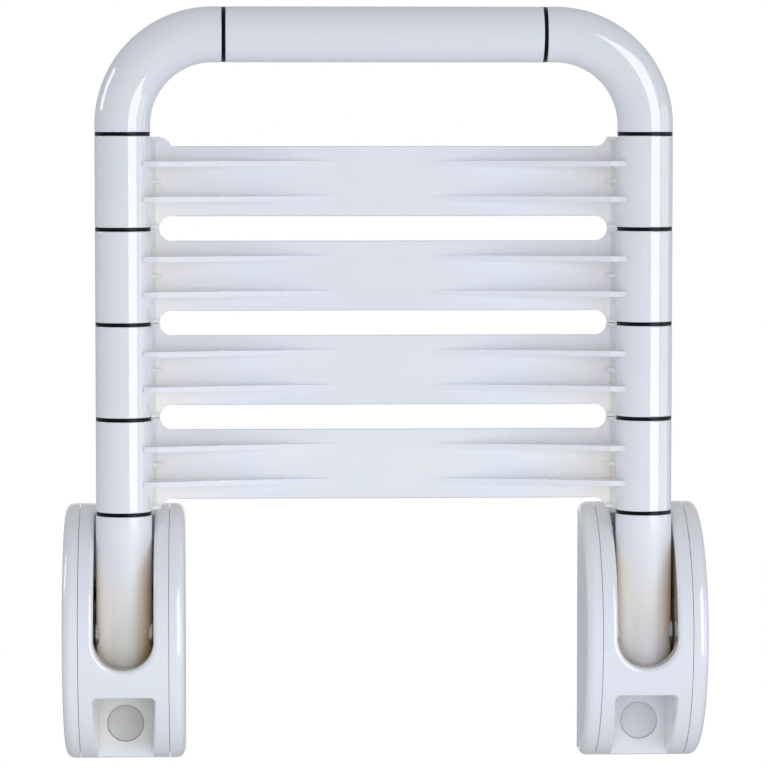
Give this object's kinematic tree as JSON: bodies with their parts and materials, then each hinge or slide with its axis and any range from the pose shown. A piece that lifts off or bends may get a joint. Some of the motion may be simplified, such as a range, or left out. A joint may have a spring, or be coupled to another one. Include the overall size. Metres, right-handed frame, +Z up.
{
  "type": "wall-mounted folding shower seat",
  "caption": "Wall-mounted shower seat: a bent rail with ribbed slats that folds down from the wall on two hinged brackets.",
  "frame": {"origin": "on the wall plane, midway between the two lower wall screw holes", "axes": "+Z up, +Y into the wall, +X to the right as seen from the room"},
  "size_m": [0.4022, 0.075, 0.4762],
  "materials": {
    "sleeve_nylon": "gloss moulded nylon",
    "slat_plastic": "semi-gloss moulded nylon",
    "cover_plastic": "gloss moulded ABS",
    "spacer_black": "smooth",
    "plug_plastic": "gloss moulded ABS",
    "black_nylon": "plain",
    "bush_nylon": "plain",
    "stainless_steel": "brushed"
  },
  "bodies": {
    "wall_brackets": {"left_centre_cover": "cover_plastic", "left_disc_spring": "stainless_steel", "left_hinge_shims": "black_nylon", "left_inner_side_cover": "cover_plastic", "left_outer_side_cover": "cover_plastic", "left_pivot_bolt": "stainless_steel", "left_pivot_nut": "stainless_steel", "left_pivot_washers": "stainless_steel", "left_screw_plug": "plug_plastic", "left_stop_bar": "black_nylon", "left_wall_bracket": "stainless_steel", "right_centre_cover": "cover_plastic", "right_disc_spring": "stainless_steel", "right_hinge_shims": "black_nylon", "right_inner_side_cover": "cover_plastic", "right_outer_side_cover": "cover_plastic", "right_pivot_bolt": "stainless_steel", "right_pivot_nut": "stainless_steel", "right_pivot_washers": "stainless_steel", "right_screw_plug": "plug_plastic", "right_stop_bar": "black_nylon", "right_wall_bracket": "stainless_steel"},
    "seat": {"frame_tube": "stainless_steel", "front_grip_sleeve": "sleeve_nylon", "left_arm_sleeve": "sleeve_nylon", "left_corner_sleeve": "sleeve_nylon", "left_grip_spacer_ring": "spacer_black", "left_pivot_bushes": "bush_nylon", "left_pivot_tube": "stainless_steel", "left_spacer_ring_1": "spacer_black", "left_spacer_ring_2": "spacer_black", "left_spacer_ring_3": "spacer_black", "left_spacer_ring_4": "spacer_black", "left_spacer_ring_5": "spacer_black", "right_arm_sleeve": "sleeve_nylon", "right_corner_sleeve": "sleeve_nylon", "right_grip_spacer_ring": "spacer_black", "right_pivot_bushes": "bush_nylon", "right_pivot_tube": "stainless_steel", "right_spacer_ring_1": "spacer_black", "right_spacer_ring_2": "spacer_black", "right_spacer_ring_3": "spacer_black", "right_spacer_ring_4": "spacer_black", "right_spacer_ring_5": "spacer_black", "seat_slat_1": "slat_plastic", "seat_slat_2": "slat_plastic", "seat_slat_3": "slat_plastic", "seat_slat_4": "slat_plastic"}
  },
  "joints": [
    {"name": "seat_fold", "type": "hinge", "parent": "wall_brackets", "child": "seat", "pos_m": [0, -0.04, 0.0604], "axis": [1, 0, 0], "range_deg": [0, 90]}
  ]
}
